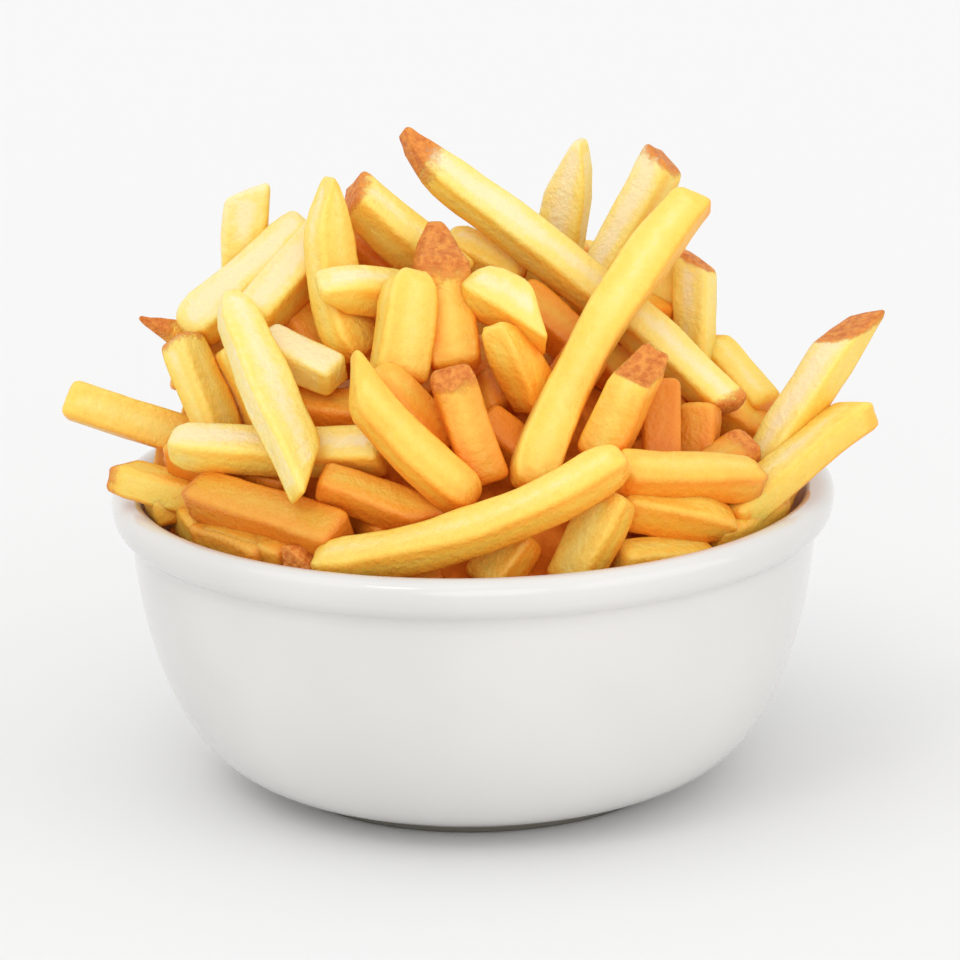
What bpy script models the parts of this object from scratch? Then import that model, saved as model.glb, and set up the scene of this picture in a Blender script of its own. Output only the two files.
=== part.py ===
"""A portion of french fries heaped in a white glazed bowl.

Two solids: the turned bowl, and the heap of fries, which is one solid out to its uneven outline.
Lengths are written in millimetres and scaled to metres. +Z is up and the front is towards -Y.
The origin is the middle of the bowl's flat underside.
"""

import math

import bmesh
import bpy
from mathutils import Matrix, Vector

MM = 0.001
FACETS = 52  # round the bowl and round the filling

HEIGHT = 64.0  # underside to the crown of the lip
LIP_RADIUS = 72.0  # of the circle that the crown of the lip runs along
LIP_ROUND = 3.0  # radius of the lip's own section, so the bowl is 150 mm across
BODY_RADIUS = 70.9  # of the body just under the band below the lip
BODY_TOP = 53.5
INNER_RADIUS = 66.6  # of the inside at the same level
FLOOR = 7.2  # height of the inside of the bottom
FOOT_RADIUS = 40.6
FOOT_HEIGHT = 2.2
WALL_GAP = 0.4  # between the filling and the inside of the bowl

MOUND_RADIUS = 67.0  # of the low mound that the loose fries lie on
MOUND_BASE = 61.0
MOUND_TOP = 106.0

TIP = 5.0  # length over which a fry's end is drawn in
UP_FRONT = Vector((0.0, -0.45, 1.0))  # the way the top face of a fry leans

# name: (how much of the section is left at the end, slope of the cut)
ENDS = {
    "square": (0.88, 0.0),
    "round": (0.65, 0.0),
    "wedge": (0.5, 0.0),
    "point": (0.35, 0.0),
    "sharp": (0.15, 0.0),
    "slant": (0.85, 0.5),
    "steep": (0.7, 0.9),
}

# Each fry: width, thickness, turn about its own length in degrees, its two ends, then the
# points its middle runs through. The letters after an end's name say which side of it reaches
# furthest: L and R are left and right of the way it runs, F is front and B is back.
FRIES = [
    # Lying on the front of the heap
    (8.4, 7.8, 6, "round", "round", (-31.5, -57, 63), (0, -62, 70.5), (30, -56, 83.5)),
    (9.5, 7.5, 22, "round", "square", (11, -50, 76), (30.5, -17, 106.5), (46.5, 0, 123)),
    (8.4, 7.8, 8, "point", "square", (-15, 9, 133.5), (20, -2, 109), (53, -14, 81.5)),
    (10, 7.2, -10, "point", "steep R", (-48.5, -22, 110), (-32.5, -48, 78)),
    (8.5, 8, 10, "round", "square", (-61, -27, 80), (-17, -41, 81.5)),
    (9.2, 7.6, 12, "steep L", "round", (-24, -47, 98.5), (-15.5, -50, 88.5), (0, -53, 73.5)),
    (8, 8, 0, "round", "square", (-19.5, -38, 97.5), (-5, -40, 81)),
    (9, 8, 20, "square", "square", (-4.5, -43, 99), (3, -46, 76)),
    (9, 8, 10, "point", "square", (4.5, -34, 105), (14, -29, 87)),
    (9.5, 9, 10, "round", "steep R", (-0.5, -22, 111), (14.5, -29, 104.5)),
    # The crest, seen from the front
    (11, 8, 0, "wedge", "square", (-6, -15, 120), (-2.5, -29, 95)),
    (11, 9, -25, "round", "square", (-11.5, -23, 114), (-14.5, -33, 93.5)),
    (8.5, 8, 0, "wedge", "square", (-30.5, -23, 111.5), (-12.5, -16, 107)),
    (10, 8, -30, "point", "round", (-28, -7, 130), (-28, -12, 113.5), (-22.5, -24, 96.5)),
    (9, 8.8, 0, "square", "square", (-24, 0, 125), (-2, -2.5, 106)),
    (8, 8, 0, "round", "square", (-5, 8, 113), (10.5, 4, 105)),
    (8, 8, 0, "round", "square", (-30, 8, 116.5), (-11.5, 5, 104)),
    (10, 7.5, -15, "point", "square", (23.5, 17, 131.5), (16.5, 20, 98.5)),
    (8.5, 8, 0, "square", "square", (41, 14, 128.5), (22.5, 9, 97.5)),
    (8, 7.2, 25, "slant R", "square", (47, 9, 108), (46, 3, 83)),
    (7, 7, 0, "round", "square", (43, 16, 109.5), (39.5, 8, 91.5)),
    (8, 8, 0, "slant R", "square", (49.5, 9, 90), (61, -4, 78)),
    # Hanging out over the right of the bowl
    (8.4, 7.4, 8, "steep LB", "square", (78.5, -5, 97), (57.5, -18, 68)),
    (8.8, 7.4, 15, "slant L", "square", (79.5, -12.5, 80), (51.5, -35.5, 64)),
    # Low on the right
    (8.2, 8.2, 8, "square", "round", (29, -48, 77.5), (58, -33, 72)),
    (9.5, 9, -20, "slant B", "square", (34.5, -38, 98.5), (25, -40, 78.5)),
    (8.5, 8.5, 0, "square", "square", (46.5, -18, 84), (44, -24, 65)),
    (8, 8, 0, "square", "square", (57, -21, 76), (43, -31, 69)),
    (10, 8, 0, "square", "square", (28, -53, 75.5), (18.5, -57, 57.5)),
    (9, 8.5, 0, "square", "wedge", (29, -48, 71.5), (52, -39, 65)),
    (9.5, 8, 0, "square", "square", (10, -54, 68), (2.5, -58, 58)),
    # Hanging out over the left of the bowl
    (8.8, 7.2, 42, "square", "square", (-83.5, 0, 82.5), (-55, -4, 73.5)),
    (7, 6, 0, "sharp", "square", (-66.5, 2, 101), (-43.5, 0, 82)),
    (8.2, 7.2, -24, "square", "square", (-72.5, -16, 70.5), (-54, -23, 66.5)),
    # Low on the left
    (8.2, 7.6, -25, "square", "square", (-59.5, -8, 97), (-51, -18, 78)),
    (8.5, 8.5, 0, "square", "square", (-49.5, -8, 95), (-42, -14, 78.5)),
    (9.5, 7.5, -6, "slant L", "square", (-45.5, 12, 123.5), (-47, 8, 101)),
    (10.5, 8, 0, "round", "square", (-58.5, -4, 97), (-32, 6, 116)),
    (9.5, 8.5, 0, "square", "square", (-44.5, -15, 102), (-28.5, 2, 116)),
    (8.2, 7.4, 0, "square", "square", (-42, -20, 99), (-26.5, -30, 94)),
    (9.5, 9, 10, "square", "square", (-56, -31, 71), (-26, -53, 66.5)),
    (7.8, 7.4, 8, "square", "steep L", (-30.5, -45, 76.5), (-6, -52, 69)),
    (8, 8, 0, "square", "square", (-61, -17, 75), (-36, -32, 71.5)),
    (8.5, 8, 0, "square", "square", (-60.5, -11.5, 63.5), (-52.5, -32, 62)),
    (9, 8, 0, "square", "square", (-60, -2, 69), (-50, -20, 72)),
    # Between the front ones, lower down
    (9, 9, 0, "square", "square", (-37.5, -4, 101.5), (-26.5, -13, 89.5)),
    (8, 8, 0, "square", "square", (-41, -25, 86.5), (-19, -29, 85.5)),
    (9, 8, 0, "square", "square", (9.5, -6, 104), (24.5, -14, 92.5)),
    (8, 8, 0, "square", "square", (24.5, -20, 96.5), (13, -28, 84)),
    (8, 8, 0, "square", "square", (38.5, -24, 90.5), (38, -34, 71.5)),
    (8, 8, 0, "square", "square", (-52.5, -33, 62.5), (-36, -49.5, 61.5)),
    (8, 8, 0, "square", "square", (28.5, -54.5, 61.5), (46, -42, 58.5)),
    (7, 7, 0, "sharp", "square", (-37.5, -53, 65.5), (-29.5, -52, 56.5)),
    (8, 8, 0, "square", "square", (2, -34, 86), (14, -38, 76)),
    # Round the back, from the lip upwards
    (9, 8, 0, "round", "square", (-58, 28, 71), (-27.5, 54, 71.5)),
    (8, 8, 10, "square", "wedge", (-37.5, 46, 80.5), (2.5, 59, 76)),
    (9, 8, 0, "square", "slant L", (-1.5, 61, 69), (36.5, 50, 71.5)),
    (8, 8, 0, "round", "square", (24.5, 54, 81.5), (59.5, 26, 72)),
    (8.5, 8, 0, "slant R", "wedge", (56.5, 14, 79), (34.5, 34, 90.5)),
    (8, 8, 0, "square", "square", (-57.5, 11, 85), (-25.5, 34, 94.5)),
    (8, 8.5, 0, "wedge", "square", (-31.5, 40, 90.5), (8.5, 50, 86)),
    (8, 8, 0, "slant R", "round", (3, 42, 97), (38.5, 42, 83.5)),
    (8, 8, 0, "wedge", "square", (-19, 18, 112.5), (-37, 38, 98.5)),
    (8.5, 8, 0, "square", "slant L", (1, 22, 107), (-13.5, 46, 92)),
    (8, 8, 0, "square", "round", (9, 28, 110), (18.5, 50, 91.5)),
    (8, 8, 0, "slant L", "square", (35, 20, 105.5), (46.5, 36, 83)),
    (8, 8, 0, "square", "steep R", (19, 34, 103.5), (40.5, 24, 99.5)),
    (8, 8, 0, "square", "square", (47.5, 40, 70), (65, 6, 72)),
    (8.5, 8, 0, "square", "wedge", (26.5, 46, 92.5), (52.5, 28, 86)),
    (8, 8, 0, "round", "square", (-55.5, -2, 89), (-51.5, 26, 89)),
    (8, 8, 0, "square", "square", (-43.5, 16, 104), (-23, 38, 101.5)),
    (8.5, 8, 0, "wedge", "square", (-7, 12, 110), (-23, 32, 104.5)),
    (8, 8, 0, "square", "square", (3, 14, 108), (27, 26, 104.5)),
    (8, 8, 0, "square", "square", (-15.5, 56, 80.5), (16.5, 58, 77.5)),
    (8, 8, 0, "square", "square", (30.5, 0, 99.5), (50.5, 18, 93)),
    (8, 8, 0, "square", "round", (-47.5, 43, 70), (-15.5, 61, 70.5)),
    (8.5, 8, 0, "round", "square", (20.5, 57, 80.5), (47.5, 38, 78)),
]


def clear_scene():
    for thing in list(bpy.data.objects):
        bpy.data.objects.remove(thing, do_unlink=True)


def material(name, colour, roughness, coat):
    made = bpy.data.materials.new(name)
    made.use_nodes = True
    shader = made.node_tree.nodes["Principled BSDF"]
    shader.inputs["Base Color"].default_value = (*colour, 1.0)
    shader.inputs["Metallic"].default_value = 0.0
    shader.inputs["Roughness"].default_value = roughness
    shader.inputs["Coat Weight"].default_value = coat
    return made


def belly(low_radius, radius, low, top, first, last, steps):
    """Points up the bowl's full-bellied curve, between two angles of a flattened quarter circle."""
    points = []
    for k in range(steps + 1):
        angle = math.radians(first + (last - first) * k / steps)
        out = low_radius + (radius - low_radius) * math.sin(angle) ** 0.52
        up = low + (top - low) * (1.0 - math.cos(angle) ** 1.28)
        points.append((out, up))
    return points


def inside():
    """The inside from the middle of the floor to where the lip's round begins."""
    wall = belly(22.0, INNER_RADIUS, FLOOR, 54.0, 5.0, 90.0, 9)
    return [(0.0, FLOOR)] + wall + [(67.6, 57.6)]


def lip():
    """The rounded lip, from its inner side over the crown to its widest point."""
    middle = HEIGHT - LIP_ROUND
    angles = [math.radians(a) for a in range(165, -1, -33)]
    return [(LIP_RADIUS + LIP_ROUND * math.cos(a), middle + LIP_ROUND * math.sin(a)) for a in angles]


def outside():
    """The band under the lip, the step in below it, the belly and the foot."""
    band = [(74.9, 59.2), (74.2, 57.3), (73.2, 56.2), (71.8, 55.2)]
    body = belly(26.0, BODY_RADIUS, 2.0, BODY_TOP, 8.0, 90.0, 12)[::-1]
    foot = [(FOOT_RADIUS + 0.9, FOOT_HEIGHT), (FOOT_RADIUS, 0.6), (FOOT_RADIUS - 0.6, 0.0)]
    return band + body + foot


def turned(name, outline, collection):
    """An outline of (radius, height) points turned once about the upright axis."""
    build = bmesh.new()
    points = [build.verts.new((r * MM, 0.0, z * MM)) for r, z in outline]
    for first, second in zip(points, points[1:]):
        build.edges.new((first, second))
    mesh = bpy.data.meshes.new(name)
    build.to_mesh(mesh)
    build.free()
    thing = bpy.data.objects.new(name, mesh)
    collection.objects.link(thing)
    turn = thing.modifiers.new("turn", "SCREW")
    turn.axis = "Z"
    turn.angle = math.tau
    turn.steps = FACETS
    turn.render_steps = FACETS
    turn.use_merge_vertices = True
    turn.merge_threshold = 0.00001
    turn.use_smooth_shade = True
    return thing


def bowl(collection):
    return turned("bowl", inside() + lip() + outside() + [(0.0, 0.0)], collection)


def filling(collection):
    """What fills the bowl to its lip and rises into the mound between the loose fries."""
    mound = []
    for share in (0.0, 0.25, 0.45, 0.62, 0.76, 0.88, 1.0):
        rise = (MOUND_TOP - MOUND_BASE) * (1.0 - share**2.3)
        mound.append((MOUND_RADIUS * share, MOUND_BASE + rise))
    against_wall = [(max(r - WALL_GAP, 0.0), z + WALL_GAP / 2) for r, z in inside()]
    return turned("fries", mound + against_wall[::-1], collection)


def fry(index, row, collection):
    """One fry: a box cut across near its ends, which are drawn in, and bent where it has a middle."""
    wide, thick, turn, first_end, last_end = row[:5]
    points = [Vector(p) for p in row[5:]]
    first, last = points[0], points[-1]
    length = (last - first).length
    along = (last - first).normalized()
    side = UP_FRONT.cross(along).normalized()
    face = along.cross(side)

    build = bmesh.new()
    bmesh.ops.create_cube(build, size=1.0)
    bmesh.ops.scale(build, vec=(wide, thick, length), verts=build.verts)
    cuts = [-length / 2 + TIP, length / 2 - TIP]
    if len(points) > 2:
        cuts.append((points[1] - first).dot(along) - length / 2)
    for cut in cuts:
        everything = build.verts[:] + build.edges[:] + build.faces[:]
        bmesh.ops.bisect_plane(build, geom=everything, plane_co=(0, 0, cut), plane_no=(0, 0, 1))
    for vert in build.verts:
        if abs(vert.co.z) < length / 2 - 0.01:
            continue
        style, _, sides = (first_end if vert.co.z < 0 else last_end).partition(" ")
        blunt, slope = ENDS[style]
        vert.co.x *= blunt
        vert.co.y *= blunt
        lean_x = ("L" in sides) - ("R" in sides)
        lean_y = ("F" in sides) - ("B" in sides)
        further = slope * (vert.co.x * lean_x + vert.co.y * lean_y)
        vert.co.z += further if vert.co.z > 0 else -further
    bmesh.ops.rotate(build, verts=build.verts, matrix=Matrix.Rotation(math.radians(turn), 3, "Z"))
    if len(points) > 2:
        offset = points[1] - first - along * (points[1] - first).dot(along)
        bend = Vector((offset.dot(side), offset.dot(face), 0.0))
        for vert in build.verts:
            ahead = (vert.co.z - cuts[2]) / (length / 2 - math.copysign(cuts[2], vert.co.z - cuts[2]))
            vert.co += bend * (1.0 - abs(ahead))
    bmesh.ops.scale(build, vec=(MM, MM, MM), verts=build.verts)
    mesh = bpy.data.meshes.new("fry")
    build.to_mesh(mesh)
    build.free()

    thing = bpy.data.objects.new(f"fry_{index:02d}", mesh)
    collection.objects.link(thing)
    turned_to = Matrix((side, face, along)).transposed()
    thing.rotation_euler = turned_to.to_euler()
    thing.location = (first + last) / 2 * MM
    thing.hide_render = True
    thing.display_type = "WIRE"
    return thing


def main():
    clear_scene()
    portion = bpy.data.collections.new("french_fries_portion")
    loose = bpy.data.collections.new("fries_to_join")
    bpy.context.scene.collection.children.link(portion)
    bpy.context.scene.collection.children.link(loose)

    dish = bowl(portion)
    dish.data.materials.append(material("white glaze", (0.86, 0.86, 0.85), 0.18, 0.6))

    heap = filling(portion)
    heap.data.materials.append(material("fried potato", (0.83, 0.52, 0.13), 0.5, 0.0))
    for index, row in enumerate(FRIES):
        fry(index, row, loose)
    join = heap.modifiers.new("join the fries", "BOOLEAN")
    join.operation = "UNION"
    join.operand_type = "COLLECTION"
    join.collection = loose
    join.solver = "EXACT"
    join.use_self = True


main()
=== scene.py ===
# %% [markdown]
# # A bowl of french fries
#
# We build a portion of french fries in a round white glazed bowl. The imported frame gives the
# bowl and the heap at their real size. It is loaded first, and everything made here lies in
# the same place: metres, up is +Z, and the front is towards -Y.

import math
import random

import bmesh
import bpy
from mathutils import Matrix, Vector, noise
from mathutils.bvhtree import BVHTree


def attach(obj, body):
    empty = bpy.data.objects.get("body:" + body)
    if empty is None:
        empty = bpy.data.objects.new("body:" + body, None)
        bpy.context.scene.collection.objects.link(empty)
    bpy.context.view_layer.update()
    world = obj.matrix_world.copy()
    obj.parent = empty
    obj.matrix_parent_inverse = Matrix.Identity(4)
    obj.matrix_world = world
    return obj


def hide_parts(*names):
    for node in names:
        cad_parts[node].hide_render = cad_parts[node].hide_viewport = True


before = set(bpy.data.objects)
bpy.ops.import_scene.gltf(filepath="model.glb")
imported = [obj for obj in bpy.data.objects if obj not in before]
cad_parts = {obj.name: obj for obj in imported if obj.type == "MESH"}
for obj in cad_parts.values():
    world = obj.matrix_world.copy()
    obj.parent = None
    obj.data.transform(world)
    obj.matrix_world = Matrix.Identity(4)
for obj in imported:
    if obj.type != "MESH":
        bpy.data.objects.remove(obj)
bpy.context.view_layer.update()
MM = 0.001
NOISE_SEED = 1
noise.seed_set(NOISE_SEED)

# %% [markdown]
# ## Helpers for shaders
#
# A procedural finish is a small sum: some noise, some of how near an edge is, and a mask. A
# node tree hides that sum in wires. This class wraps one socket, so that plus, minus and
# times on it add the Math nodes for us.


# %% A socket that can be added and multiplied
class Value:
    def __init__(self, tree, socket):
        self.tree = tree
        self.socket = socket

    def sum(self, operation, first, second=None):
        step = self.tree.nodes.new("ShaderNodeMath")
        step.operation = operation
        for place, term in enumerate((first, second)):
            if isinstance(term, Value):
                self.tree.links.new(term.socket, step.inputs[place])
            elif term is not None:
                step.inputs[place].default_value = term
        return Value(self.tree, step.outputs[0])

    def __add__(self, other):
        return self.sum("ADD", self, other)

    def __sub__(self, other):
        return self.sum("SUBTRACT", self, other)

    def __mul__(self, other):
        return self.sum("MULTIPLY", self, other)


# %% [markdown]
# A finish is a material with one Principled shader. Its add method makes any node from its
# type, its settings and what goes into its sockets, and gives back the output we ask for.


# %% A finish
class Finish:
    def __init__(self, name, **constants):
        self.material = bpy.data.materials.new(name)
        self.material.use_nodes = True
        self.tree = self.material.node_tree
        self.shader = self.tree.nodes["Principled BSDF"]
        for label, value in constants.items():
            self.shader.inputs[label.replace("_", " ")].default_value = value

    def add(self, kind, settings=None, inputs=None, output=0):
        made = self.tree.nodes.new(kind)
        for label, value in (settings or {}).items():
            if label == "stops":
                self.set_stops(made.color_ramp, value)
            else:
                setattr(made, label, value)
        for label, value in (inputs or {}).items():
            self.feed(made.inputs[label], value)
        return Value(self.tree, made.outputs[output])

    def set_stops(self, ramp, stops):
        while len(ramp.elements) < len(stops):
            ramp.elements.new(0.5)
        for place, (where, colour) in zip(ramp.elements, stops):
            place.position = where
            place.color = (*colour, 1.0)

    def feed(self, socket, value):
        if isinstance(value, Value):
            self.tree.links.new(value.socket, socket)
        else:
            socket.default_value = value

    def noise(self, where, scale, detail=2.0, roughness=0.5):
        return self.add(
            "ShaderNodeTexNoise",
            inputs={"Vector": where, "Scale": scale, "Detail": detail, "Roughness": roughness},
        )

    def step(self, value, low, high):
        return self.add(
            "ShaderNodeMapRange",
            settings={"interpolation_type": "SMOOTHSTEP"},
            inputs={"Value": value, "From Min": low, "From Max": high},
        )

    def mix(self, share, first, second):
        return self.add(
            "ShaderNodeMix",
            settings={"data_type": "RGBA"},
            inputs={0: share, 6: first, 7: second},
            output=2,
        )

    def bump(self, height, strength, distance):
        return self.add(
            "ShaderNodeBump",
            inputs={"Height": height, "Strength": strength, "Distance": distance},
        )


# %% [markdown]
# ## The bowl
#
# The bowl is glazed stoneware: a full belly on a small foot, a step in under a rounded band,
# and a fat round lip. It is thrown on a wheel, so one outline spun about the axis makes it.
# The frame's bowl has flat facets, so we spin the same outline in finer steps.

# %% The outline of the bowl
HEIGHT = 64.0
LIP_RADIUS = 72.0
LIP_ROUND = 3.0
OUT_POWER, UP_POWER = 0.52, 1.28


def belly(low_radius, radius, low, top, first, last, steps):
    points = []
    for k in range(steps + 1):
        angle = math.radians(first + (last - first) * k / steps)
        out = low_radius + (radius - low_radius) * math.sin(angle) ** OUT_POWER
        up = low + (top - low) * (1.0 - math.cos(angle) ** UP_POWER)
        points.append((out, up))
    return points


inner = [(0.0, 7.2)] + belly(22.0, 66.6, 7.2, 54.0, 5.0, 90.0, 18) + [(67.0, 56.0), (67.9, 58.4)]
lip = [
    (LIP_RADIUS + LIP_ROUND * math.cos(a), HEIGHT - LIP_ROUND + LIP_ROUND * math.sin(a))
    for a in [math.radians(d) for d in range(165, -1, -15)]
]
band = [(74.95, 59.6), (74.6, 58.1), (74.0, 57.0), (73.2, 56.2), (72.3, 55.6), (71.5, 55.0)]
outer = belly(26.0, 70.9, 2.0, 53.5, 8.0, 90.0, 26)[::-1]
foot = [(41.6, 2.3), (40.9, 1.4), (40.6, 0.7), (40.0, 0.1), (38.6, 0.0), (0.0, 0.0)]
print("outline points:", len(inner + lip + band + outer + foot))

# %% Spin the outline
SPIN_STEPS = 144
WELD = 0.00001
bm = bmesh.new()
rim_points = [bm.verts.new((r * MM, 0.0, z * MM)) for r, z in inner + lip + band + outer + foot]
outline = [bm.edges.new(pair) for pair in zip(rim_points, rim_points[1:])]
bmesh.ops.spin(
    bm,
    geom=rim_points + outline,
    axis=(0, 0, 1),
    cent=(0, 0, 0),
    steps=SPIN_STEPS,
    angle=math.tau,
    use_merge=True,
)
bmesh.ops.remove_doubles(bm, verts=bm.verts, dist=WELD)
bmesh.ops.recalc_face_normals(bm, faces=bm.faces)
for face in bm.faces:
    face.smooth = True
mesh = bpy.data.meshes.new("glazed bowl")
bm.to_mesh(mesh)
bm.free()
glazed_bowl = bpy.data.objects.new("glazed_bowl", mesh)
bpy.context.scene.collection.objects.link(glazed_bowl)
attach(glazed_bowl, "root")
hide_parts("bowl")
print("bowl faces:", len(mesh.polygons))

# %% [markdown]
# The glaze is white, glossy and a little uneven where it pooled, so a wide, weak bump makes
# its reflections waver and a slow noise shades its white by a hair. Just above the foot the
# colour turns dark and the surface rougher: a painted shadow along the foot.

# %% The glaze
glaze = Finish("white glaze", Roughness=0.16, IOR=1.5, Coat_Weight=0.35, Coat_Roughness=0.05)
place = glaze.add("ShaderNodeTexCoord", output=3)
pooling = glaze.noise(place, 18.0, 2.0)
white = glaze.mix(glaze.step(pooling, 0.3, 0.7), (0.64, 0.63, 0.61, 1), (0.70, 0.685, 0.66, 1))
height = glaze.add("ShaderNodeSeparateXYZ", inputs={"Vector": place}, output=2)
# Painted shadow: a dark, rougher band just above the foot.
painted_foot_shadow = glaze.step(height, 0.0024, 0.0012)
glaze.feed(glaze.shader.inputs["Base Color"], glaze.mix(painted_foot_shadow, white, (0.17, 0.16, 0.13, 1)))
glaze.feed(glaze.shader.inputs["Roughness"], pooling * 0.08 + painted_foot_shadow * 0.5 + 0.12)
glaze.feed(glaze.shader.inputs["Normal"], glaze.bump(pooling, 0.05, 0.002))
mesh.materials.append(glaze.material)

# %% [markdown]
# ## The fries
#
# A chip starts as a square stick of potato. Frying draws its faces in, rounds its corners and
# browns them first, then its ends. No two are alike, so each one here is a box that is cut
# into short lengths, has its corners bevelled, and is then bent, tapered and roughened by
# its own numbers.
#
# The ends have a few names. Square, round, wedge, slant, steep, peak and leaf are shapes; crust,
# crisp, seared, roof and tip are browned as well.

# %% How the ends are shaped
# name: (width kept, thickness kept, slope of the cut, length over which it changes in mm,
#        how brown the tip is, length that is browned in mm)
ENDS = {
    "square": (0.93, 0.93, 0.0, 3.0, 0.25, 3.0),
    "round": (0.55, 0.6, 0.12, 5.0, 0.3, 4.0),
    "rim": (0.7, 0.7, 0.2, 4.0, 0.7, 4.0),
    "wedge": (0.8, 0.3, 0.15, 9.0, 0.25, 3.0),
    "angle": (0.92, 0.92, 0.25, 4.0, 0.25, 2.0),
    "slant": (0.94, 0.94, 0.5, 5.0, 0.25, 2.0),
    "steep": (0.9, 0.9, 1.05, 8.0, 0.25, 3.0),
    "peak": (0.22, 0.7, 0.0, 8.0, 0.3, 3.0),
    "leaf": (0.12, 0.6, 0.0, 14.0, 0.2, 3.0),
    "crust": (0.92, 0.92, 0.35, 4.0, 0.8, 4.5),
    "seared": (0.94, 0.94, 0.6, 5.0, 0.9, 2.5),
    "crust steep": (0.95, 0.95, 0.7, 10.0, 0.85, 4.0),
    "crisp": (0.86, 0.86, 0.1, 3.0, 1.1, 8.0),
    "crisp round": (0.68, 0.68, 0.4, 5.0, 1.2, 4.5),
    "roof": (0.3, 0.6, 1.0, 8.0, 1.3, 18.0),
    "crisp point": (0.06, 0.3, 0.0, 14.0, 1.2, 14.0),
    "tip": (0.15, 0.5, 0.0, 15.0, 1.3, 16.0),
}
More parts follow.
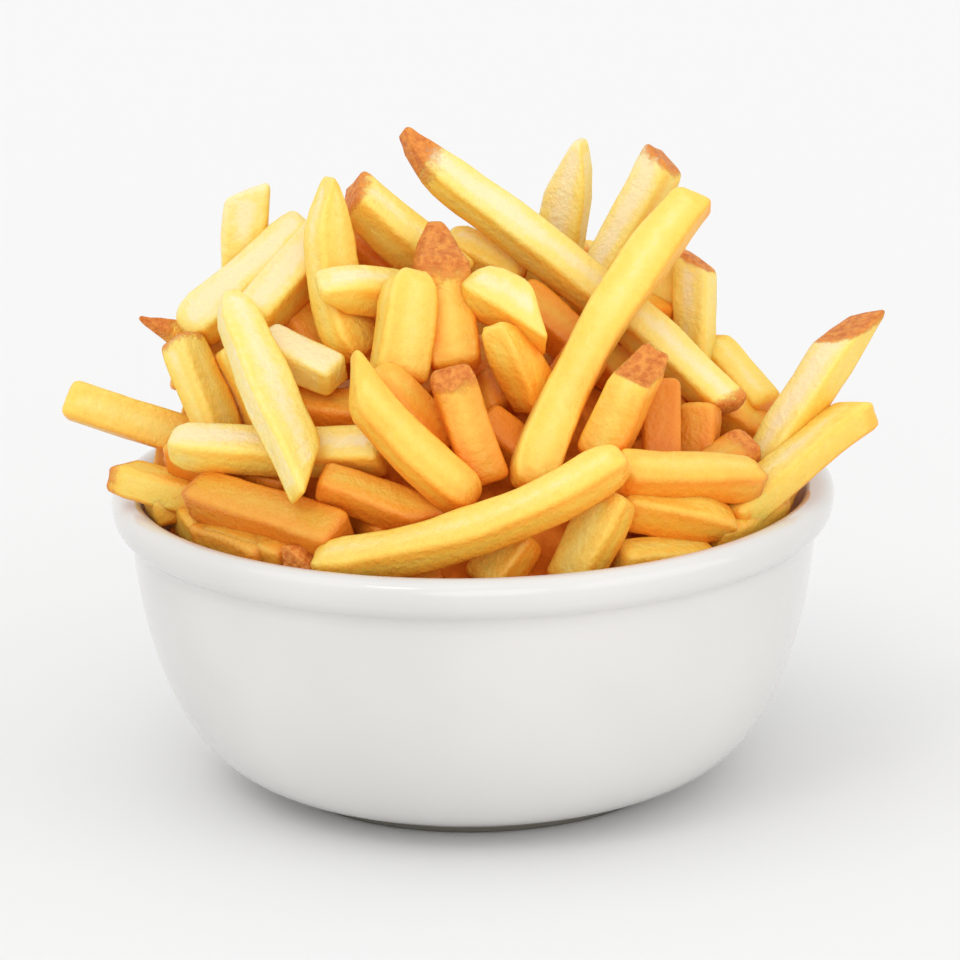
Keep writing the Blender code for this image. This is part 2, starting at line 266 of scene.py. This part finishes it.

# %% [markdown]
# The fries that show are listed one by one. Each row gives the width and thickness, the turn
# about its own length, how fried it is from about 0 (pale) to 1 (deep gold), the two ends, and
# the points that its middle runs through, in millimetres. A letter after an end's name says
# which side of it reaches furthest: L and R are left and right of the way it runs, F is front
# and B is back.
#
# Not all of these numbers are chosen by hand. The points began as estimates, which a program
# turned by the view's roll and rounded to half a millimetre. In every group but the last, how
# fried most of them are was worked out by a program from measured colours; those colours held
# the shade each fry sat in, so fries in shade got a deeper gold, which is partly painted shade.
# In the last group, another program pushed crossing fries apart.

# %% The fries that show
SHOWN = [
    # Lying on the front of the heap
    (8.4, 7.8, 6, 0.4, "round", "round", (-31.5, -57, 63), (0, -62, 70.5), (30, -56, 83.5)),
    (9.5, 7.5, 22, 0.36, "round", "angle R", (11, -50, 76), (30.5, -17, 106.5), (46.5, 0, 123)),
    (8.4, 7.8, 8, 0.08, "tip L", "crust L", (-15, 9, 133.5), (20, -2, 109), (53, -14, 81.5)),
    (10, 7.2, -10, 0.12, "peak", "steep R", (-48.5, -22, 110), (-32.5, -48, 78)),
    (8.5, 8, 10, 0.08, "round", "square", (-61, -27, 80), (-17, -41, 81.5)),
    (9.2, 7.6, 12, 0.48, "steep L", "round", (-24, -47, 98.5), (-15.5, -50, 88.5), (0, -53, 73.5)),
    (8, 8, 0, 0.58, "round", "square", (-19.5, -38, 97.5), (-5, -40, 81)),
    (9, 8, 20, 0.66, "crisp", "square", (-4.5, -43, 99), (3, -46, 76)),
    (9, 8, 10, 0.38, "peak", "square", (4.5, -34, 105), (14, -29, 87)),
    (9.5, 9, 10, 0.22, "round", "steep R", (-0.5, -22, 111), (14.5, -29, 104.5)),
    # The crest, seen from the front
    (11, 8, 0, 0.46, "roof B", "square", (-6, -15, 120), (-2.5, -29, 95)),
    (11, 9, -25, 0.34, "round", "square", (-11.5, -23, 114), (-14.5, -33, 93.5)),
    (8.5, 8, 0, 0.12, "wedge", "square", (-30.5, -23, 111.5), (-12.5, -16, 107)),
    (10, 8, -30, 0.24, "leaf", "round", (-28, -7, 130), (-28, -12, 113.5), (-22.5, -24, 96.5)),
    (9, 8.8, 0, 0.14, "crust L", "square", (-24, 0, 125), (-2, -2.5, 106)),
    (8, 8, 0, 0.12, "round", "square", (-5, 8, 113), (10.5, 4, 105)),
    (8, 8, 0, 0.76, "round", "square", (-30, 8, 116.5), (-11.5, 5, 104)),
    (10, 7.5, -15, -0.12, "leaf", "square", (23.5, 17, 131.5), (16.5, 20, 98.5)),
    (8.5, 8, 0, -0.02, "crust R", "square", (41, 14, 128.5), (22.5, 9, 97.5)),
    (8, 7.2, 25, 0.02, "seared R", "square", (47, 9, 108), (46, 3, 83)),
    (7, 7, 0, 0.24, "round", "square", (43, 16, 109.5), (39.5, 8, 91.5)),
    (8, 8, 0, 0.2, "slant R", "square", (49.5, 9, 90), (61, -4, 78)),
    # Hanging out over the right of the bowl
    (8.4, 7.4, 8, 0.08, "crust steep LBB", "square", (78.5, -5, 97), (57.5, -18, 68)),
    (8.8, 7.4, 15, 0.3, "slant L", "square", (79.5, -12.5, 80), (51.5, -35.5, 64)),
    # Low on the right
    (8.2, 8.2, 8, 0.5, "square", "rim", (29, -48, 77.5), (58, -33, 72)),
    (9.5, 9, -20, 0.52, "crisp round BB", "square", (34.5, -38, 98.5), (25, -40, 78.5)),
    (8.5, 8.5, 0, 0.72, "square", "square", (46.5, -18, 84), (44, -24, 65)),
    (8, 8, 0, 0.78, "crisp", "square", (57, -21, 76), (43, -31, 69)),
    (10, 8, 0, 0.32, "square", "square", (28, -53, 75.5), (18.5, -57, 57.5)),
    (9, 8.5, 0, 0.42, "square", "wedge", (29, -48, 71.5), (52, -39, 65)),
    (9.5, 8, 0, 0.48, "square", "square", (10, -54, 68), (2.5, -58, 58)),
    (6.8, 6, 0, 0.5, "square", "square", (66, -4, 65), (60.5, -26.5, 64.5)),
    (8, 8, 0, 0.5, "square", "square", (46.5, -7, 85), (61, -6, 72)),
    (7, 6, 0, 0.45, "square", "square", (62, -22, 63.5), (48, -42, 62)),
    (8, 8, 0, 0.5, "square", "square", (58, -8, 65), (50, -30, 62)),
    # Hanging out over the left of the bowl
    (8.8, 7.2, 42, 0.32, "square", "square", (-83.5, 0, 82.5), (-55, -4, 73.5)),
    (7, 6, 0, 0.4, "crisp point R", "square", (-66.5, 2, 101), (-43.5, 0, 82)),
    (8.2, 7.2, -24, 0.44, "crust R", "square", (-72.5, -16, 70.5), (-54, -23, 66.5)),
    # Low on the left
    (8.2, 7.6, -25, 0.18, "crust", "square", (-59.5, -8, 97), (-51, -18, 78)),
    (8.5, 8.5, 0, 0.18, "square", "square", (-49.5, -8, 95), (-42, -14, 78.5)),
    (9.5, 7.5, -6, -0.08, "slant L", "square", (-45.5, 12, 123.5), (-47, 8, 101)),
    (10.5, 8, 0, 0.06, "round", "square", (-58.5, -4, 97), (-32, 6, 116)),
    (9.5, 8.5, 0, 0.04, "square", "square", (-44.5, -15, 102), (-28.5, 2, 116)),
    (8.2, 7.4, 0, -0.14, "square", "square", (-42, -20, 99), (-26.5, -30, 94)),
    (9.5, 9, 10, 0.8, "crust", "square", (-56, -31, 71), (-26, -53, 66.5)),
    (7.8, 7.4, 8, 0.72, "square", "steep L", (-30.5, -45, 76.5), (-6, -52, 69)),
    (8, 8, 0, 0.7, "square", "square", (-61, -17, 75), (-36, -32, 71.5)),
    (8.5, 8, 0, 0.5, "square", "square", (-60.5, -11.5, 63.5), (-52.5, -32, 62)),
    (9, 8, 0, 0.64, "square", "square", (-60, -2, 69), (-50, -20, 72)),
    (6.8, 6, 0, 0.5, "square", "square", (-66, -3, 65), (-61.5, -24, 64.5)),
    (8, 8, 0, 0.74, "square", "square", (-54.5, -31, 62), (-40.5, -48, 61.5)),
    # Between the front ones, lower down
    (9, 9, 0, 0.6, "square", "square", (-37.5, -4, 101.5), (-26.5, -13, 89.5)),
    (8, 8, 0, 0.66, "square", "square", (-41, -25, 86.5), (-19, -29, 85.5)),
    (9, 8, 0, 0.86, "square", "square", (9.5, -6, 104), (24.5, -14, 92.5)),
    (8, 8, 0, 0.9, "square", "square", (24.5, -20, 96.5), (13, -28, 84)),
    (8, 8, 0, 1.1, "square", "square", (38.5, -24, 90.5), (38, -34, 71.5)),
    (8, 8, 0, 0.68, "square", "square", (-52.5, -33, 62.5), (-36, -49.5, 61.5)),
    (8, 8, 0, 0.36, "square", "square", (28.5, -54.5, 61.5), (46, -42, 58.5)),
    (7, 7, 0, 1.0, "crisp point", "crisp", (-37.5, -53, 65.5), (-29.5, -52, 56.5)),
    (8, 8, 0, 1.1, "square", "square", (2, -34, 86), (14, -38, 76)),
    # Round the back, from the lip upwards
    (9, 8, 0, 0.4, "round", "square", (-58, 28.5, 69.5), (-25.5, 51, 73)),
    (8, 8, 10, 0.5, "square", "wedge", (-36, 43, 82), (2.5, 56, 73.5)),
    (9, 8, 0, 0.3, "square", "slant L", (-0.5, 62, 67), (36.5, 50.5, 70.5)),
    (8, 8, 0, 0.4, "round", "square", (22.5, 51.5, 79.5), (60.5, 26, 72.5)),
    (8.5, 8, 0, 0.5, "slant R", "wedge", (54, 12.5, 76.5), (32, 32.5, 88)),
    (8, 8, 0, 0.2, "square", "square", (-55.5, 11, 81.5), (-25, 33.5, 91)),
    (8, 8.5, 0, 0.3, "wedge", "crust R", (-31.5, 39, 88), (8.5, 49, 84)),
    (8, 8, 0, 0.4, "slant R", "round", (2, 41.5, 95), (36, 39, 84)),
    (8, 8, 0, 0.3, "wedge", "square", (-21.5, 21, 112.5), (-39.5, 41, 98.5)),
    (8.5, 8, 0, 0.2, "square", "slant L", (-0.5, 25, 106.5), (-13.5, 48, 92)),
    (8, 8, 0, 0.5, "square", "round", (8, 28.5, 110.5), (18, 51.5, 91.5)),
    (8, 8, 0, 0.4, "slant L", "square", (36, 16.5, 103.5), (46.5, 32, 81.5)),
    (8, 8, 0, 0.3, "square", "steep R", (20.5, 37, 101.5), (42, 27.5, 99)),
    (8, 8, 0, 0.5, "square", "square", (45.5, 39, 66.5), (63.5, 5, 68.5)),
    (8.5, 8, 0, 0.5, "square", "round", (-62.5, 0, 69.5), (-60, 17.5, 66)),
    (8, 8, 0, 0.4, "slant L", "square", (-57, 9, 75), (-46.5, 32, 76)),
    (8.5, 8, 0, 0.3, "square", "wedge", (27.5, 49, 91.5), (50.5, 33, 84)),
    (8, 8, 0, 0.5, "round", "square", (-58.5, -1.5, 86.5), (-55.5, 26, 89.5)),
    (8, 8, 0, 0.4, "square", "square", (-42.5, 14.5, 100.5), (-22.5, 36.5, 98)),
    (8.5, 8, 0, 0.2, "wedge", "square", (-8, 13.5, 109), (-22, 31.5, 105)),
    (8, 8, 0, 0.5, "square", "square", (1.5, 17.5, 107.5), (24.5, 29, 104)),
    (8, 8, 0, 0.3, "square", "crust L", (-15.5, 60, 80), (16.5, 62, 77)),
    (8, 8, 0, 0.6, "square", "square", (31.5, 1, 99.5), (46, 17, 94)),
    (8, 8, 0, 0.4, "square", "round", (-45.5, 45, 68), (-18, 60.5, 67.5)),
    (8.5, 8, 0, 0.4, "round", "square", (23, 60, 80.5), (50, 41, 77.5)),
]
print("fries in the list:", len(SHOWN))

# %% [markdown]
# One fry: a cube is scaled to the stick, cut across every few millimetres and once along each
# face, and its long corners and the rims of its two ends are bevelled with three narrow strips,
# so that its faces stay flat and its corners soft.


# %% Cut the stick
def stick(wide, thick, length):
    bm = bmesh.new()
    bmesh.ops.create_cube(bm, size=1.0)
    bmesh.ops.scale(bm, vec=(wide, thick, length), verts=bm.verts)
    lengthwise = [e for e in bm.edges if abs(e.verts[0].co.z - e.verts[1].co.z) > 0.1]
    pieces = max(5, round(length / 3.2))
    bmesh.ops.subdivide_edges(bm, edges=lengthwise, cuts=pieces - 1)
    across = [e for e in bm.edges if abs(e.verts[0].co.z - e.verts[1].co.z) < 0.01]
    bmesh.ops.subdivide_edges(bm, edges=across, cuts=1, use_grid_fill=True)
    sharp = [e for e in bm.edges if e.calc_face_angle() > 1.0]
    bmesh.ops.bevel(
        bm, geom=sharp, offset=1.5, affect="EDGES", segments=3, profile=0.5, material=-1
    )
    return bm


# %% [markdown]
# The stick is then given its own shape. Its ends are drawn in, cut at a slant or brought to a
# point, a slow noise pushes it about so that no side stays straight, and it is laid along its
# curve. Its faces sink a little, as they do when the water boils out.
#
# Four numbers stay on its points for the finish: how near a corner is, how brown the end is,
# how fried it is with painted light added, paler on faces turned to the big lamp and more golden
# on faces turned away, and how far it is darkened towards brown, which is partly how fried it is
# and partly painted shade, as the most fried mostly lie low or deep in the heap. Its own straight
# coordinates stay too, so that a pattern runs along it round every bend.


# %% Shape the stick and lay it along its curve
UP_FRONT = Vector((0.0, -0.45, 1.0))
# The side the big lamp lights: faces turned to it are painted paler, faces turned away more golden.
PAINTED_LIGHT_SIDE = Vector((-0.35, -0.25, 0.9))
STRAY_BOW = 0.022
FACE_SINK = 0.05
PUSH = 0.65
NICK, NICK_AT_TIP = 0.16, 0.3
DARKEN_FROM, MOST_DARKENING = 0.43, 0.4


def mound_height(radius, top=104.0, base=60.0, reach=69.0):
    return base + (top - base) * (1.0 - min(radius / reach, 1.0) ** 2.3)


def curve_point(points, share):
    first, last = points[0], points[-1]
    if len(points) == 2:
        return first.lerp(last, share)
    to_middle = (points[1] - first).length
    where = to_middle / (to_middle + (last - points[1]).length)
    bow = points[1] - first.lerp(last, where)
    return first.lerp(last, share) + bow * (share * (1 - share)) / (where * (1 - where))


def shape_end(co, half, wide, thick, way, end):
    name, _, sides = end.rpartition(" ") if end[-1] in "LRFB" else (end, "", "")
    keep_w, keep_t, slope, reach, browning, browned = ENDS[name]
    lean_x = sides.count("L") - sides.count("R")
    lean_y = sides.count("F") - sides.count("B")
    reach = min(reach, half)
    to_end = half - way * co.z
    near = min(max(1.0 - to_end / reach, 0.0), 1.0)
    cut = slope * near * (co.x * lean_x + co.y * lean_y)
    drawn_in = near**1.7
    co.x = co.x * (1 - (1 - keep_w) * drawn_in) + lean_x * (1 - keep_w) * drawn_in * wide * 0.5
    co.y = co.y * (1 - (1 - keep_t) * drawn_in) + lean_y * (1 - keep_t) * drawn_in * thick * 0.5
    co.z += way * cut
    return browning * min(max(1.0 - to_end / browned, 0.0), 1.0)


def fry(row, rng):
    wide, thick, turn, fried, first_end, last_end = row[:6]
    points = [Vector(p) for p in row[6:]]
    length = sum((b - a).length for a, b in zip(points, points[1:]))
    if len(points) == 2:
        sideways = Vector([rng.uniform(-1, 1) for _ in range(3)]) * length * STRAY_BOW
        points.insert(1, (points[0] + points[1]) / 2 + sideways)
    half = length / 2
    bm = stick(wide, thick, length)
    names = ("edge", "brown", "tone", "oil")
    edge, brown, tone, oil = [bm.verts.layers.float.new(name) for name in names]
    grain = bm.verts.layers.float_vector.new("grain")
    seed = Vector([rng.uniform(-500, 500) for _ in range(3)])
    twist = math.radians(rng.uniform(-8, 8))
    taper = rng.uniform(-0.06, 0.06)
    for vert in bm.verts:
        co = vert.co.copy()
        out_x, out_y = abs(2 * co.x / wide), abs(2 * co.y / thick)
        cornered = (out_x > 0.6) + (out_y > 0.6) + (half - abs(co.z) < 1.7)
        vert[edge] = 1.0 if cornered >= 2 else 0.0
        vert[grain] = (co + seed) * MM
        co.x *= 1.0 - FACE_SINK * (1.0 - out_y**2)
        co.y *= 1.0 - FACE_SINK * (1.0 - out_x**2)
        way = 1 if co.z > 0 else -1
        vert[brown] = shape_end(co, half, wide, thick, way, last_end if way > 0 else first_end)
        push = noise.noise_vector(Vector((co.x / 9, co.y / 9, co.z / 14)) + seed)
        nick = noise.noise_vector(co / 3.2 + seed)
        co += Vector((push.x, push.y, push.z * 0.5)) * PUSH
        co += nick * (NICK + NICK_AT_TIP * vert[brown])
        swell = 1.0 + taper * co.z / half + 0.05 * noise.noise(Vector((0, 3, co.z / 15)) + seed)
        angle = math.radians(turn) + twist * co.z / half
        spun = Matrix.Rotation(angle, 3, "Z") @ Vector((co.x * swell, co.y * swell, 0.0))
        share = co.z / length + 0.5
        here = curve_point(points, share)
        along = (curve_point(points, share + 0.02) - curve_point(points, share - 0.02)).normalized()
        side = UP_FRONT.cross(along).normalized()
        vert.co = (here + side * spun.x + along.cross(side) * spun.y) * MM
    bm.normal_update()
    for vert in bm.verts:
        # Painted light: paler where the face turns to the big lamp, more golden where it turns
        # away.
        vert[tone] = fried + 0.2 - 0.4 * vert.normal.dot(PAINTED_LIGHT_SIDE)
        # Darker brown for the most fried: partly deeper frying, partly painted shade, as these lie
        # mostly low in the heap.
        vert[oil] = min(max(fried - DARKEN_FROM, 0.0), MOST_DARKENING)
    return bm


# %% [markdown]
# Between and below the fries in the list lie some more. They are placed by a rule:
# a fry is tried at a random place on the mound, along its slope, and it is kept only if it
# misses every fry that is there already. This leaves the uneven gaps that a real heap has.

# %% Fill the heap by rule
chance = random.Random(7)
SPREAD, INSIDE = 66.0, 63.0


def samples(points):
    vectors = [Vector(p) for p in points]
    return [curve_point(vectors, k / 8) for k in range(9)]


taken = [samples(row[6:]) for row in SHOWN]


def clear(candidate, gap):
    return all((a - b).length > gap for other in taken for a in other for b in candidate)


def try_fry(sink, gap, shortest, longest):
    radius = SPREAD * math.sqrt(chance.random())
    angle = chance.uniform(0, math.tau)
    heading = chance.uniform(0, math.pi)
    reach = chance.uniform(shortest, longest) / 2
    middle = Vector((radius * math.cos(angle), radius * math.sin(angle)))
    along = Vector((math.cos(heading), math.sin(heading)))
    ends = []
    for way in (-1, 1):
        flat = middle + along * reach * way
        if flat.length > INSIDE:
            return None
        ends.append((flat.x, flat.y, mound_height(flat.length) - sink + chance.uniform(-3, 3)))
    return ends if clear(samples(ends), gap) else None


FILLING = []
for sink, gap, tries in ((1.0, 7.6, 2500), (7.0, 7.4, 2500), (14.0, 7.2, 1500)):
    for _ in range(tries):
        ends = try_fry(sink, gap, 26.0, 60.0)
        if ends is None:
            continue
        size = chance.uniform(7.6, 9.2)
        styles = [chance.choice(("square", "round", "wedge", "slant L", "slant R")) for _ in (1, 2)]
        fried = chance.uniform(0.3, 0.8) if sink > 5 else chance.uniform(0.1, 0.7)
        FILLING.append((size, size - 0.6, chance.uniform(0, 90), fried, *styles, *ends))
        taken.append(samples(ends))
print("fries placed by rule:", len(FILLING))


# %% Make the two lots of fries
def make_fries(name, rows, seed):
    rng = random.Random(seed)
    whole = bmesh.new()
    mesh = bpy.data.meshes.new(name)
    for row in rows:
        one = fry(row, rng)
        one.to_mesh(mesh)
        one.free()
        whole.from_mesh(mesh)
    for face in whole.faces:
        face.smooth = True
    whole.to_mesh(mesh)
    whole.free()
    piece = bpy.data.objects.new(name, mesh)
    bpy.context.scene.collection.objects.link(piece)
    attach(piece, "root")
    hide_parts("fries")
    print(name, "faces:", len(mesh.polygons))
    return piece


top_fries = make_fries("top_fries", SHOWN, 3)
under_fries = make_fries("under_fries", FILLING, 5)

# %% [markdown]
# ## The core
#
# Below the fries that can be seen, the heap is closed by a lumpy mound, so that no gap shows
# the bowl through it. It is painted deep orange, as painted shade for the crevices between fries.

# %% The core
CORE_BELOW = 17.0
CORE_STEPS = 12
bm = bmesh.new()
radii = [SPREAD * k / CORE_STEPS for k in range(CORE_STEPS + 1)]
profile = [(radius, mound_height(radius) - CORE_BELOW) for radius in radii]
ring = [bm.verts.new((r * MM, 0.0, z * MM)) for r, z in profile] + [
    bm.verts.new((r * MM, 0.0, z * MM)) for r, z in ((60.0, 36.0), (40.0, 20.0), (0.0, 16.0))
]
line = [bm.edges.new(pair) for pair in zip(ring, ring[1:])]
bmesh.ops.spin(
    bm, geom=ring + line, axis=(0, 0, 1), cent=(0, 0, 0), steps=64, angle=math.tau, use_merge=True
)
bmesh.ops.remove_doubles(bm, verts=bm.verts, dist=WELD)
bmesh.ops.recalc_face_normals(bm, faces=bm.faces)
for vert in bm.verts:
    if vert.co.z > 0.045:
        vert.co.z += min(max(vert.co.y, 0.0) * 0.2, 0.006)
        vert.co += noise.noise_vector(vert.co * 90) * 0.003
for face in bm.faces:
    face.smooth = True
mesh = bpy.data.meshes.new("core")
bm.to_mesh(mesh)
bm.free()
core = bpy.data.objects.new("heap_core", mesh)
bpy.context.scene.collection.objects.link(core)
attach(core, "root")
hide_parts("fries")

# %% [markdown]
# Deep in the heap the fries shade each other and light each other, so they look more orange than
# on top; that look is painted into their colour here as painted shade. How closed in each point
# is gets counted: short feelers go out from it all round, and the share that meets another fry
# is kept on the point.

# %% Feel how closed in each point is
REACH = 18.0
FEELERS = 12
GOLDEN_ANGLE = 2.39996
feelers = []
for k in range(FEELERS):
    rise = 1.0 - (k + 0.5) / FEELERS * 0.85
    round_about = k * GOLDEN_ANGLE
    flat = math.sqrt(1.0 - rise * rise)
    feelers.append(Vector((flat * math.cos(round_about), flat * math.sin(round_about), rise)))

heap_points, heap_faces = [], []
for piece in (top_fries, under_fries, core):
    start = len(heap_points)
    heap_points += [vert.co.copy() for vert in piece.data.vertices]
    heap_faces += [[start + i for i in face.vertices] for face in piece.data.polygons]
heap = BVHTree.FromPolygons(heap_points, heap_faces)
for piece in (top_fries, under_fries):
    shares = []
    for vert in piece.data.vertices:
        lean = vert.normal.to_track_quat("Z", "Y")
        start = vert.co + vert.normal * 0.3 * MM
        met = 0.0
        for feeler in feelers:
            distance = heap.ray_cast(start, lean @ feeler, REACH * MM)[3]
            met += 0.0 if distance is None else 1.0 - 0.6 * distance / (REACH * MM)
        shares.append(met / len(feelers))
    piece.data.attributes.new("closed_in", "FLOAT", "POINT").data.foreach_set("value", shares)
    print(piece.name, "points", len(shares), "closed in by", round(sum(shares) / len(shares), 2))

# %% [markdown]
# ## The finish of the fries
#
# A pale fry is mealy and almost cream on its faces. Its corners and thin places are golden,
# and a crisp end is brown. The kept numbers and two noises that run along each fry choose a
# place on a ramp of six colours from cream to orange; those numbers add painted light on the
# faces turned to the big lamp and painted shade where a point is closed in. Towards the bottom
# of the heap, and more for the most fried fries, the colour is darkened towards brown: painted
# shade, and for the most fried partly their deeper frying. The crisp ends are mixed in over it.
# Potato also lets some light through, so the shader scatters light below the surface.

# %% Fried potato
potato = Finish(
    "fried potato",
    Roughness=0.42,
    IOR=1.45,
    Specular_IOR_Level=0.45,
    Subsurface_Weight=0.25,
    Subsurface_Radius=(1.0, 0.5, 0.15),
    Subsurface_Scale=0.003,
)
place = potato.add("ShaderNodeTexCoord", output=3)
height = potato.add("ShaderNodeSeparateXYZ", inputs={"Vector": place}, output=2)
grain = potato.add("ShaderNodeAttribute", {"attribute_name": "grain"}, output=1)
edge = potato.add("ShaderNodeAttribute", {"attribute_name": "edge"}, output=2)
brown = potato.add("ShaderNodeAttribute", {"attribute_name": "brown"}, output=2)
tone = potato.add("ShaderNodeAttribute", {"attribute_name": "tone"}, output=2)
oil = potato.add("ShaderNodeAttribute", {"attribute_name": "oil"}, output=2)
closed_in = potato.add("ShaderNodeAttribute", {"attribute_name": "closed_in"}, output=2)
patches = potato.noise(grain, 130.0, 2.0)
mealy = potato.noise(grain, 620.0, 3.0, 0.6)
margin = potato.step(edge, 0.0, 1.0)
# The fry's own tone, with painted light on faces turned to the lamp and painted shade where a point
# is closed in.
fried = tone + closed_in * 0.6 + margin * 0.24 + patches * 0.22 + mealy * 0.3 - 0.54
colour = potato.add(
    "ShaderNodeValToRGB",
    {
        "stops": [
            (0.0, (0.88, 0.75, 0.42)),
            (0.2, (0.89, 0.70, 0.18)),
            (0.4, (0.90, 0.62, 0.10)),
            (0.6, (0.92, 0.51, 0.058)),
            (0.8, (0.95, 0.40, 0.034)),
            (1.0, (0.95, 0.31, 0.02)),
        ]
    },
    {"Fac": fried * 0.8 + 0.2},
)
crumb = potato.noise(place, 650.0, 3.0, 0.65)
# Painted shade: darker towards the bottom of the heap, and darker brown for the most fried fries,
# partly their deeper frying.
low = potato.step(height, 0.084, 0.064)
colour = potato.mix(oil * 0.7 + low * 0.1, colour, (0.38, 0.12, 0.01, 1))
crisp = potato.step(brown + (patches - 0.5) * 0.4 + (crumb - 0.5) * 0.8, 0.35, 0.75)
deepest = potato.mix(potato.step(crumb, 0.3, 0.7), (0.58, 0.14, 0.015, 1), (0.81, 0.31, 0.048, 1))
colour = potato.mix(crisp, colour, deepest)
potato.feed(potato.shader.inputs["Base Color"], colour)
potato.feed(potato.shader.inputs["Roughness"], crisp * 0.15 + mealy * 0.2 + 0.3)
potato.feed(
    potato.shader.inputs["Normal"],
    potato.bump(crumb * (crisp * 1.4 + 0.5) + mealy * 0.5 + patches, 0.45, 0.0016),
)
for piece in (top_fries, under_fries):
    piece.data.materials.append(potato.material)

# %% The core's finish
# The core is painted the deep orange of the shade between fries.
deep = Finish("painted crevice shade", Roughness=0.8, Specular_IOR_Level=0.0)
place = deep.add("ShaderNodeTexCoord", output=3)
lumps = deep.noise(place, 160.0, 4.0)
deep.feed(
    deep.shader.inputs["Base Color"],
    deep.mix(deep.step(lumps, 0.35, 0.65), (0.6, 0.14, 0.012, 1), (0.82, 0.26, 0.03, 1)),
)
deep.feed(deep.shader.inputs["Normal"], deep.bump(lumps, 0.6, 0.003))
core.data.materials.append(deep.material)

# %% [markdown]
# ## Floor, light and camera
#
# The bowl stands on a plain white table in soft, bright light: one big lamp above and to the
# left, weaker ones on the right and in front, and a white surround. A small lamp beside the
# big one gives the lip its highlight.

# %% Floor
bm = bmesh.new()
bmesh.ops.create_grid(bm, x_segments=1, y_segments=1, size=3.0)
mesh = bpy.data.meshes.new("table")
bm.to_mesh(mesh)
bm.free()
table = bpy.data.objects.new("table", mesh)
bpy.context.scene.collection.objects.link(table)
paint = Finish("table white", Roughness=0.8)
paint.shader.inputs["Base Color"].default_value = (0.8, 0.8, 0.8, 1)
table.data.materials.append(paint.material)


# %% Lamps
def sun(name, strength, spread, coming_from):
    light = bpy.data.lights.new(name, "SUN")
    light.energy = strength
    light.angle = math.radians(spread)
    made = bpy.data.objects.new(name, light)
    made.rotation_euler = Vector(coming_from).to_track_quat("Z", "Y").to_euler()
    bpy.context.scene.collection.objects.link(made)


sun("overhead", 0.46, 60.0, (-0.45, -0.35, 0.85))
sun("small key", 0.16, 14.0, (-0.35, -0.55, 0.75))
sun("right fill", 0.56, 60.0, (0.85, -0.5, 0.2))
sun("front fill", 0.45, 40.0, (0.05, -0.95, 0.3))
world = bpy.data.worlds.new("surround")
world.use_nodes = True
world.node_tree.nodes["Background"].inputs["Color"].default_value = (1, 1, 1, 1)
world.node_tree.nodes["Background"].inputs["Strength"].default_value = 0.93
bpy.context.scene.world = world
bpy.context.scene.view_settings.view_transform = "Standard"

# %% [markdown]
# The camera looks down on the portion by 16 degrees through a long lens, from about a metre.

# %% Camera
DISTANCE = 1.15
TARGET = Vector((0.0015, 0.0, 0.0634))
VIEW_WIDTH = 0.1996
SENSOR_WIDTH = 36.0
ROLL = math.radians(-1.0)
tilt = math.radians(16)
back = Vector((0.0, -math.cos(tilt), math.sin(tilt)))
camera_data = bpy.data.cameras.new("camera")
camera_data.lens = SENSOR_WIDTH * DISTANCE / VIEW_WIDTH
camera = bpy.data.objects.new("camera", camera_data)
camera.location = TARGET + back * DISTANCE
level = (-back).to_track_quat("-Z", "Y").to_matrix()
camera.rotation_euler = (level @ Matrix.Rotation(ROLL, 3, "Z")).to_euler()
bpy.context.scene.collection.objects.link(camera)
bpy.context.scene.camera = camera
